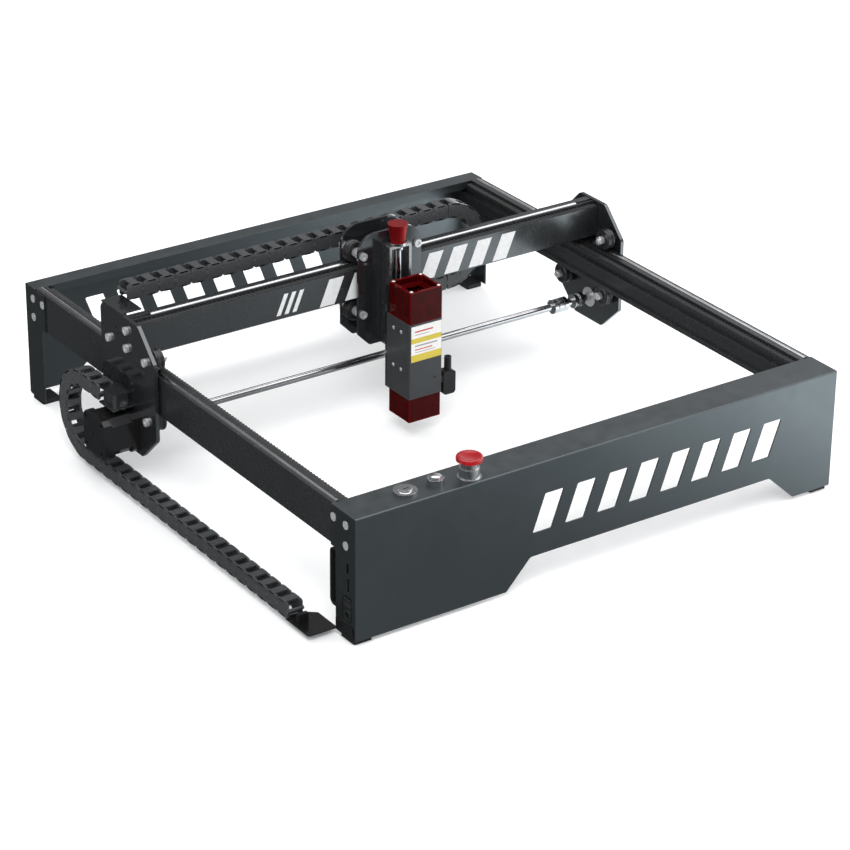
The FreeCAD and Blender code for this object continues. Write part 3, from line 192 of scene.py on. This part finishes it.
def sheet_metal():
    """Slate metallic powder coat with a fine orange peel and paler folded edges."""
    return coated("sheet_metal", (0.118, 0.135, 0.143), (0.142, 0.160, 0.169), 0.33, 1400.0,
                  metallic=0.93, coat=0.05, wear=0.4, bump=0.06)


def profile():
    """Anodised extrusion in the same slate, glossier, with faint scuffs."""
    return coated("profile", (0.118, 0.126, 0.131), (0.142, 0.151, 0.156), 0.24, 2200.0,
                  metallic=0.88, coat=0.1, wear=0.35, bump=0.012)


def gantry_metal():
    """Dark enamel, glossy enough to mirror what stands next to it."""
    return coated("gantry_metal", (0.125, 0.132, 0.138), (0.152, 0.160, 0.167), 0.12, 2200.0,
                  metallic=0.90, coat=0.4, wear=0.4, bump=0.012)


def motor():
    return coated("motor", (0.014, 0.014, 0.015), (0.024, 0.024, 0.026), 0.20, 1400.0,
                  metallic=0.5, coat=0.4, wear=0.5, bump=0.04)


def head_metal():
    return coated("head_metal", (0.070, 0.074, 0.079), (0.090, 0.095, 0.101), 0.34, 1300.0,
                  metallic=0.5, coat=0.1, wear=0.5)


def steel():
    return metal("steel", (0.52, 0.52, 0.53), (0.70, 0.70, 0.72), 0.12, 40.0, 2500.0)


def screws():
    """Nickel plate, satin enough to stay bright from every side."""
    return metal("screws", (0.70, 0.70, 0.71), (0.88, 0.88, 0.90), 0.20, 500.0, metallic=0.68)


def chrome_trim():
    return metal("chrome_trim", (0.72, 0.73, 0.74), (0.88, 0.89, 0.90), 0.09)


def bare_aluminium():
    return metal("bare_aluminium", (0.55, 0.55, 0.56), (0.68, 0.68, 0.69), 0.32, 200.0, 1600.0)


def brass():
    return metal("brass", (0.62, 0.44, 0.16), (0.72, 0.54, 0.24), 0.26, 200.0)


def red_acrylic():
    """Deep red clear sheet: dark faces with faint smears, and a painted glow of brighter red on the cut
    edges.
    """
    m = Nodes("red_acrylic")
    smear = m.noise(90.0, 5.0)
    face = m.mix(m.range(smear, 0.0, 1.0), (0.034, 0.0006, 0.001), (0.060, 0.0012, 0.001))
    # painted glow: the edge mask paints the cut edges a brighter red, standing in for light carried through
    # the sheet
    m.link(m.mix(m.edge_wear_and_glow(1.6 * MM), face, (0.36, 0.006, 0.007)), m.shader.inputs["Base Color"])
    m.link(m.range(smear, 0.03, 0.09), m.shader.inputs["Roughness"])
    m.set("Transmission Weight", 0.15)
    m.set("IOR", 1.49)
    m.set("Specular IOR Level", 0.12)
    m.set("Coat Weight", 0.05)
    m.set("Coat Roughness", 0.04)
    m.bump(m.noise(25.0, 2.0), 0.03, 0.2 * MM)
    return m.material


def red_anodised():
    return coated("red_anodised", (0.300, 0.004, 0.007), (0.370, 0.007, 0.010), 0.28, 1500.0,
                  metallic=0.72, coat=0.06, wear=0.2)


def red_plastic():
    return coated("red_plastic", (0.310, 0.002, 0.005), (0.380, 0.004, 0.007), 0.16, 1800.0,
                  coat=0.5, wear=0.15, bump=0.03)


def belt():
    return coated("belt", (0.020, 0.020, 0.021), (0.032, 0.032, 0.033), 0.55, 2500.0, bump=0.25)


def rubber_feet():
    return coated("rubber_feet", (0.014, 0.014, 0.015), (0.024, 0.024, 0.025), 0.75, 1500.0, bump=0.2)


def black_plastic():
    return coated("black_plastic", (0.012, 0.012, 0.013), (0.022, 0.022, 0.024), 0.42, 1800.0, bump=0.2)


def circuit_board():
    """Black solder mask."""
    return coated("circuit_board", (0.010, 0.014, 0.013), (0.018, 0.026, 0.022), 0.35, 1200.0, coat=0.3)


def chain_plastic():
    return coated("chain_plastic", (0.040, 0.043, 0.046), (0.064, 0.068, 0.072), 0.28, 1500.0,
                  coat=0.4, wear=0.6, bump=0.08)


def wheel_plastic():
    return coated("wheel_plastic", (0.018, 0.018, 0.020), (0.030, 0.030, 0.033), 0.26, 1500.0, coat=0.2)


def button_cap():
    return metal("button_cap", (0.70, 0.71, 0.72), (0.84, 0.85, 0.86), 0.12)


MATERIALS = (sheet_metal, profile, steel, belt, rubber_feet, screws, black_plastic, circuit_board,
             chain_plastic, chrome_trim, button_cap, red_plastic, gantry_metal, motor, red_anodised,
             head_metal, red_acrylic, bare_aluminium, brass, wheel_plastic)
made = {build.__name__: build() for build in MATERIALS}

for part in frame["record"]["subparts"]:
    mesh = frame["nodes"][part["node"]].data
    mesh.materials.clear()
    mesh.materials.append(made[part["material_slot"]])


# ---------------------------------------------------------------- mesh helpers
def new_piece(name, bm, body, slot):
    """Turns a bmesh into an object in one of the record's finishes, riding on a body."""
    bmesh.ops.recalc_face_normals(bm, faces=bm.faces)
    mesh = bpy.data.meshes.new(name)
    bm.to_mesh(mesh)
    bm.free()
    mesh.materials.append(made[slot])
    obj = bpy.data.objects.new(name, mesh)
    bpy.context.scene.collection.objects.link(obj)
    if body:
        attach(obj, body)
    return obj


def prism(bm, points, low, high, place=Matrix()):
    """Prism over a polygon of (x, z) points between two values of y, put in place by a matrix."""
    near = [bm.verts.new(place @ Vector((x, low, z))) for x, z in points]
    far = [bm.verts.new(place @ Vector((x, high, z))) for x, z in points]
    bm.faces.new(near)
    bm.faces.new(list(reversed(far)))
    count = len(points)
    for k in range(count):
        n = (k + 1) % count
        bm.faces.new((near[k], far[k], far[n], near[n]))


def block(bm, x, y, z, place=Matrix()):
    """Box between pairs of x, y and z."""
    prism(bm, [(x[0], z[0]), (x[1], z[0]), (x[1], z[1]), (x[0], z[1])], y[0], y[1], place)


def arc(centre_x, centre_z, radius, start, end, steps=8):
    """Points of an arc, angles in degrees."""
    angles = [math.radians(start + (end - start) * k / steps) for k in range(steps + 1)]
    return [(centre_x + radius * math.cos(a), centre_z + radius * math.sin(a)) for a in angles]


# ---------------------------------------------------------------- cable chains
RUN_LOW, RUN_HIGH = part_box("y_chain_lower_run")
BEND_LOW, BEND_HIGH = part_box("y_chain_bend")
CHAIN_H = RUN_HIGH.z - RUN_LOW.z
CHAIN_W = BEND_HIGH.x - BEND_LOW.x
BEND_R = (BEND_HIGH.z - BEND_LOW.z - CHAIN_H) / 2      # to the chain's middle line
PITCH = 18.5 * MM
BEND_LINKS = 7
WALL = 2.0 * MM
BAR = 1.5 * MM               # thickness of the bars that join the two cheeks
BAR_SPAN = (0.30, 0.78)      # part of the pitch that the outer bar covers
INNER_BAR_SPAN = (0.35, 0.72)
CORNER = 1.6 * MM
GAP = 0.3 * MM               # clearance at each end of a straight cheek
BEND_GAP = 0.4               # degrees
PIN_R = 1.8 * MM
PIN_SIDES = 12
PROUD = 0.3 * MM             # how far pins and bars stand out of their link


def cheeks(bm, shape, place):
    """The two side walls of a link."""
    prism(bm, shape, 0, WALL, place)
    prism(bm, shape, CHAIN_W - WALL, CHAIN_W, place)


def pin(bm, x, z, place):
    """Hinge pin of two links, a little proud of both cheeks."""
    outline = arc(x, z, PIN_R, 0, 360 - 360 / PIN_SIDES, PIN_SIDES - 1)
    prism(bm, outline, -PROUD, CHAIN_W + PROUD, place)


def straight_link(bm, place):
    """One link between its two pivots at x = 0 and x = PITCH, middle line at z = 0, y from 0 to CHAIN_W."""
    half = CHAIN_H / 2
    x0, x1 = GAP, PITCH - GAP
    side = [(x0 + CORNER, -half), (x1 - CORNER, -half), (x1, -half + CORNER), (x1, half - CORNER),
            (x1 - CORNER, half), (x0 + CORNER, half), (x0, half - CORNER), (x0, -half + CORNER)]
    cheeks(bm, side, place)
    outer = [share * PITCH for share in BAR_SPAN]
    inner = [share * PITCH for share in INNER_BAR_SPAN]
    block(bm, outer, (0, CHAIN_W), (half - BAR, half + PROUD), place)
    block(bm, inner, (0, CHAIN_W), (-half - PROUD, -half + BAR), place)
    pin(bm, 0, 0, place)


def sector(r0, r1, start, end):
    """Outline of a sector of a ring about the origin, angles in degrees."""
    return arc(0, 0, r1, start, end, 5) + arc(0, 0, r0, end, start, 5)


def bent_link(bm, start, end, place):
    """One link of the half turn between two angles in degrees."""
    r_in, r_out = BEND_R - CHAIN_H / 2, BEND_R + CHAIN_H / 2
    span = end - start
    cheeks(bm, sector(r_in, r_out, start + BEND_GAP, end - BEND_GAP), place)
    first, last = (start + share * span for share in BAR_SPAN)
    prism(bm, sector(r_out - BAR, r_out + PROUD, first, last), 0, CHAIN_W, place)
    prism(bm, sector(r_in - PROUD, r_in + BAR, first, last), 0, CHAIN_W, place)
    angle = math.radians(start)
    pin(bm, BEND_R * math.cos(angle), BEND_R * math.sin(angle), place)


def along(direction, origin):
    """Matrix that maps a chain's own x, y, z to the row frame. Its length runs along +X or +Y."""
    if direction == "x":
        return Matrix.Translation(origin)
    swap = Matrix(((0, 1, 0, 0), (1, 0, 0, 0), (0, 0, 1, 0), (0, 0, 0, 1)))
    return Matrix.Translation(origin) @ swap


def run_start(node, direction):
    """Where a run or a bend begins: its low end, its near cheek and its middle height."""
    low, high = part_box(node)
    centre = (low + high) / 2
    if direction == "x":
        return Vector((low.x, centre.y - CHAIN_W / 2, centre.z)), high.x - low.x
    return Vector((centre.x - CHAIN_W / 2, low.y, centre.z)), high.y - low.y


def straight_chain(name, node, direction):
    """Links that fill a run; the pivots are counted from the end that joins the bend."""
    origin, length = run_start(node, direction)
    place = along(direction, origin)
    bm = bmesh.new()
    for k in range(int(length / PITCH)):
        straight_link(bm, place @ Matrix.Translation((length - (k + 1) * PITCH, 0, 0)))
    obj = new_piece(name, bm, None, "chain_plastic")
    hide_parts(node)
    return obj


def bent_chain(name, node, direction, body):
    """The half turn between the runs: links on a circle about the bend's centre."""
    origin, _ = run_start(node, direction)
    place = along(direction, origin)
    bm = bmesh.new()
    step = 180 / BEND_LINKS
    for k in range(BEND_LINKS):
        bent_link(bm, -90 + k * step, -90 + (k + 1) * step, place)
    obj = new_piece(name, bm, body, "chain_plastic")
    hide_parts(node)


def cable_chains():
    """Both chains. The runs stay on no body; each bend rides on a body of its own."""
    run = straight_chain("y_chain_lower_links", "y_chain_lower_run", "y")
    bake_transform(run)
    run = straight_chain("y_chain_upper_links", "y_chain_upper_run", "y")
    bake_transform(run)
    bent_chain("y_chain_bend_links", "y_chain_bend", "y", "y_chain_loop")
    run = straight_chain("x_chain_upper_links", "x_chain_upper_run", "x")
    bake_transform(run)
    run = straight_chain("x_chain_lower_links", "x_chain_lower_run", "x")
    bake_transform(run)
    bent_chain("x_chain_bend_links", "x_chain_bend", "x", "x_chain_loop")


# ---------------------------------------------------------------- print and label
THIN = 0.08 * MM


def print_white():
    m = Nodes("print_white")
    m.link(m.mix(m.range(m.noise(200.0), 0.0, 1.0), (0.70, 0.71, 0.72), (0.80, 0.81, 0.82)),
           m.shader.inputs["Base Color"])
    m.link(m.range(m.noise(900.0), 0.35, 0.5), m.shader.inputs["Roughness"])
    m.bump(m.noise(2000.0), 0.05, 0.02 * MM)
    return m.material


LABEL_H = 40.0 * MM
LABEL_DROP = 2.0 * MM                      # from the casing's upper edge
LABEL_X = (SHELL_LOW.x + 2.5 * MM, SHELL_HIGH.x - 1.0 * MM)
LABEL_Z = (SHELL_HIGH.z - LABEL_DROP - LABEL_H, SHELL_HIGH.z - LABEL_DROP)
YELLOW = (0.62, 0.50, 0.06)
RED_RULE = (0.55, 0.05, 0.04)
GREY_RULE = (0.30, 0.30, 0.30)
# (from, to) up the label, (from, to) across it, colour: plain bands and rules with no lettering
LABEL_MARKS = (((0.00, 0.20), (0.00, 1.00), YELLOW), ((0.52, 0.66), (0.00, 1.00), YELLOW),
               ((0.82, 0.86), (0.12, 0.72), RED_RULE), ((0.74, 0.76), (0.12, 0.60), GREY_RULE),
               ((0.42, 0.46), (0.12, 0.86), GREY_RULE), ((0.32, 0.35), (0.12, 0.70), RED_RULE),
               ((0.25, 0.27), (0.12, 0.80), GREY_RULE))


def label_face():
    """White label with two plain yellow bands and a few ruled lines."""
    m = Nodes("label_face")

    def between(letter, ends, share):
        value = m.axis(letter)
        low, high = (ends[0] + (ends[1] - ends[0]) * part for part in share)
        return m.math("MULTIPLY", m.math("GREATER_THAN", value, low), m.math("LESS_THAN", value, high))
    color = m.mix(m.range(m.noise(400.0), 0.0, 1.0), (0.78, 0.78, 0.76), (0.84, 0.84, 0.82))
    for up, across, ink in LABEL_MARKS:
        inside = m.math("MULTIPLY", between("Z", LABEL_Z, up), between("X", LABEL_X, across))
        color = m.mix(inside, color, ink)
    m.link(color, m.shader.inputs["Base Color"])
    m.link(m.range(m.noise(900.0), 0.28, 0.42), m.shader.inputs["Roughness"])
    m.bump(m.noise(1500.0), 0.04, 0.02 * MM)
    return m.material


def flat_print(name, outlines, y, body, material):
    """Thin printed shapes on a face that looks along -Y."""
    bm = bmesh.new()
    for points in outlines:
        prism(bm, points, y - THIN, y)
    obj = new_piece(name, bm, body, "sheet_metal")
    obj.data.materials.clear()
    obj.data.materials.append(material)
    return obj


def slanted_row(count, first_x, pitch, width, lean, low, high):
    """Row of equal parallelograms that lean to the right."""
    row = []
    for k in range(count):
        x = first_x + k * pitch
        row.append([(x, low), (x + width, low), (x + width + lean, high), (x + lean, high)])
    return row


def beam_print():
    """Generic white marks on the beam: three short slanted strokes and a row of slanted bars."""
    low = BEAM_LOW.z + 5.0 * MM
    high = BEAM_HIGH.z - 8.5 * MM
    lean = 12.0 * MM
    shorter = 3.0 * MM
    bars = slanted_row(8, COVER.x - 70.0 * MM, 31.0 * MM, 18.0 * MM, lean, low, high)
    strokes = slanted_row(3, COVER.x - 122.0 * MM, 9.5 * MM, 5.0 * MM, 0.8 * lean,
                          low + shorter, high - shorter)
    flat_print("beam_print", bars + strokes, BEAM_LOW.y, "gantry", print_white())


def head_label():
    (x0, x1), (z0, z1) = LABEL_X, LABEL_Z
    flat_print("head_label", [[(x0, z0), (x1, z0), (x1, z1), (x0, z1)]], SHELL_LOW.y, "head", label_face())


# ---------------------------------------------------------------- small screws of the head
DOME_RINGS = 4
DOME_SIDES = 20
DOME_FLAT = 0.92         # the dome stops short of a full quarter circle, which leaves a small flat top


def dome_screw(bm, place, radius, height):
    """Domed screw head with a small flat top, its axis along the place's local z."""
    previous = None
    for k in range(DOME_RINGS + 1):
        a = math.pi / 2 * k / DOME_RINGS
        r, z = radius * math.cos(a * DOME_FLAT), height * math.sin(a)
        turns = (2 * math.pi * j / DOME_SIDES for j in range(DOME_SIDES))
        ring = [bm.verts.new(place @ Vector((r * math.cos(t), r * math.sin(t), z))) for t in turns]
        if previous:
            for j in range(DOME_SIDES):
                n = (j + 1) % DOME_SIDES
                bm.faces.new((previous[j], previous[n], ring[n], ring[j]))
        else:
            bm.faces.new(list(reversed(ring)))
        previous = ring
    bm.faces.new(previous)


SIDE_SCREW_R = 2.2 * MM
SIDE_SCREW_Y = (15.0 * MM, 29.0 * MM)      # from the casing's front face
SIDE_SCREW_Z = (30.0 * MM, 72.0 * MM)      # from its lower edge
POST_SCREW_R = 2.0 * MM
POST_INSET = 3.0 * MM                      # from the guard's corners
DOME_H = 1.0 * MM


def head_screws():
    """Four screws in the left side of the casing and one on each corner post of the upper guard."""
    bm = bmesh.new()
    side = Matrix.Rotation(-math.pi / 2, 4, "Y")
    for y in SIDE_SCREW_Y:
        for z in SIDE_SCREW_Z:
            at = Vector((SHELL_LOW.x, SHELL_LOW.y + y, SHELL_LOW.z + z))
            dome_screw(bm, Matrix.Translation(at) @ side, SIDE_SCREW_R, DOME_H)
    low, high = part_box("upper_guard")
    for x in (low.x + POST_INSET, high.x - POST_INSET):
        for y in (low.y + POST_INSET, high.y - POST_INSET):
            dome_screw(bm, Matrix.Translation((x, y, high.z)), POST_SCREW_R, DOME_H)
    screws_piece = new_piece("head_screws", bm, "head", "screws")
    for face in screws_piece.data.polygons:
        face.use_smooth = True


cable_chains()
beam_print()
head_label()
head_screws()


# ---------------------------------------------------------------- floor, light and camera
def is_mirrored(tree):
    """1 for what is seen in a reflection and 0 for what the camera sees directly."""
    return tree.nodes.new("ShaderNodeLightPath").outputs["Is Glossy Ray"]


FLOOR_REACH = 9.0
FLOOR_LIFT = 0.10            # glow that softens the shadows on the floor itself
MIRROR_ENDS = (0.26, 2.1)    # glow of the floor in reflections, at the left and at the right
MIRROR_REACH = 1.4           # how far right of the middle the glow is full, in half widths of the machine
MIRROR_RISE = 4.0            # power of the rise towards the right
MIRROR_LEFTWARDS = 0.22      # share left for a reflection that runs to the left
GLANCE = 0.35                # sideways part of a direction at which that share is reached


def floor():
    """Plain white floor. In reflections it glows softly instead, bright on the right and dark on the
    left, like a studio lit from the right."""
    mesh = bpy.data.meshes.new("floor")
    r = FLOOR_REACH
    mesh.from_pydata([(-r, -r, 0), (r, -r, 0), (r, r, 0), (-r, r, 0)], [], [(0, 1, 2, 3)])
    obj = bpy.data.objects.new("floor", mesh)
    m = Nodes("floor")
    mirrored = is_mirrored(m.tree)
    plain = m.mix(m.range(m.noise(1.0), 0.0, 1.0), (0.93, 0.93, 0.935), (0.95, 0.95, 0.955))
    m.link(m.mix(mirrored, plain, (0.0, 0.0, 0.0)), m.shader.inputs["Base Color"])
    low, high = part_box("front_cover")
    half = (high.x - low.x) / 2
    along_front = m.range(m.axis("X"), 0.0, 1.0, COVER.x - half, COVER.x + MIRROR_REACH * half)
    across = m.range(m.math("POWER", along_front, MIRROR_RISE), *MIRROR_ENDS, 0.0, 1.0)
    ray = m.tree.nodes.new("ShaderNodeNewGeometry").outputs["Incoming"]
    split = m.tree.nodes.new("ShaderNodeSeparateXYZ")
    m.link(ray, split.inputs[0])
    towards_right = m.range(split.outputs["X"], 1.0, MIRROR_LEFTWARDS, -GLANCE, GLANCE)
    in_reflections = m.math("MULTIPLY", m.math("MULTIPLY", across, towards_right), mirrored)
    seen_directly = m.range(mirrored, FLOOR_LIFT, 0.0, 0.0, 1.0)
    glow = m.math("ADD", in_reflections, seen_directly)
    m.set("Emission Color", (0.92, 0.98, 1.0, 1.0))
    m.link(glow, m.shader.inputs["Emission Strength"])
    m.set("Roughness", 0.9)
    m.set("Specular IOR Level", 0.1)
    mesh.materials.append(m.material)
    bpy.context.scene.collection.objects.link(obj)


def soft_light(name, place, target, width, height, power):
    """Lamp for the soft shading only: reflections show the mirrored room instead."""
    data = bpy.data.lights.new(name, "AREA")
    data.shape = "RECTANGLE"
    data.size = width
    data.size_y = height
    data.energy = power
    obj = bpy.data.objects.new(name, data)
    obj.location = place
    obj.rotation_mode = "QUATERNION"
    obj.rotation_quaternion = (Vector(target) - Vector(place)).to_track_quat("-Z", "Y")
    obj.visible_glossy = False
    bpy.context.scene.collection.objects.link(obj)


# (axis of the direction, start and end along it, brightness at the start and at the end)
ROOM_PARTS = (("X", 0.42, 0.92, 0.16, 1.10),      # wide panel on the right
              ("Z", 0.02, 0.20, 0.75, 0.00),      # band along the horizon
              ("Z", 0.60, 0.78, 0.00, 1.80))      # softbox overhead


def mirrored_room(tree):
    """Brightness of the room in reflections: dim above and behind, a wide panel on the right,
    a band along the horizon and a softbox overhead."""
    place = tree.nodes.new("ShaderNodeTexCoord").outputs["Generated"]
    split = tree.nodes.new("ShaderNodeSeparateXYZ")
    tree.links.new(place, split.inputs[0])

    def ramp(letter, start, end, low, high):
        node = tree.nodes.new("ShaderNodeMapRange")
        node.interpolation_type = "SMOOTHSTEP"
        for name, value in zip(("From Min", "From Max", "To Min", "To Max"), (start, end, low, high)):
            node.inputs[name].default_value = value
        tree.links.new(split.outputs[letter], node.inputs["Value"])
        return node.outputs["Result"]
    total = None
    for part in [ramp(*values) for values in ROOM_PARTS]:
        if total is None:
            total = part
            continue
        node = tree.nodes.new("ShaderNodeMath")
        node.operation = "ADD"
        tree.links.new(total, node.inputs[0])
        tree.links.new(part, node.inputs[1])
        total = node.outputs[0]
    return total


ROOM_STRENGTH = 0.85     # of the plain white room that lights the machine
# (name, place, aim, width and height in metres, power in watts)
LAMPS = (("key", (-1.2, -1.6, 2.6), (0, 0, 0), 1.6, 1.6, 45),
         ("rear_strip", (0.4, 2.4, 1.5), (0, 0, 0.1), 2.4, 0.5, 35),
         ("right_panel", (2.6, -0.6, 1.2), (0, 0, 0.1), 1.2, 1.6, 40))


def studio():
    """White room with three soft lamps; reflections see the mirrored room."""
    world = bpy.data.worlds.new("studio")
    world.use_nodes = True
    tree = world.node_tree
    background = tree.nodes["Background"]
    background.inputs["Color"].default_value = (1, 1, 1, 1)
    strength = tree.nodes.new("ShaderNodeMix")
    tree.links.new(is_mirrored(tree), strength.inputs[0])
    strength.inputs[2].default_value = ROOM_STRENGTH
    tree.links.new(mirrored_room(tree), strength.inputs[3])
    tree.links.new(strength.outputs[0], background.inputs["Strength"])
    bpy.context.scene.world = world
    for lamp in LAMPS:
        soft_light(*lamp)
    bpy.context.scene.view_settings.view_transform = "Standard"


YAW = math.radians(34.631)
PITCH_DOWN = math.radians(26.436)
ROLL = math.radians(0.612)
SENSOR = 36.0
FOCAL = 132.56
CAMERA_FROM_COVER = Vector((-1.6414, -2.3873, 1.4593))


def camera():
    """Long lens from the front left, a little above the machine."""
    data = bpy.data.cameras.new("camera")
    data.sensor_width = SENSOR
    data.lens = FOCAL
    ahead = Vector((math.sin(YAW), math.cos(YAW), 0))
    forward = ahead * math.cos(PITCH_DOWN) - Vector((0, 0, math.sin(PITCH_DOWN)))
    level = Vector((math.cos(YAW), -math.sin(YAW), 0))
    top = level.cross(forward)
    right = level * math.cos(ROLL) + top * math.sin(ROLL)
    up = top * math.cos(ROLL) - level * math.sin(ROLL)
    obj = bpy.data.objects.new("camera", data)
    turn = Matrix((right, up, -forward)).transposed()
    obj.matrix_world = Matrix.Translation(Vector((COVER.x, 0, 0)) + CAMERA_FROM_COVER) @ turn.to_4x4()
    bpy.context.scene.collection.objects.link(obj)
    bpy.context.scene.camera = obj


floor()
studio()
camera()
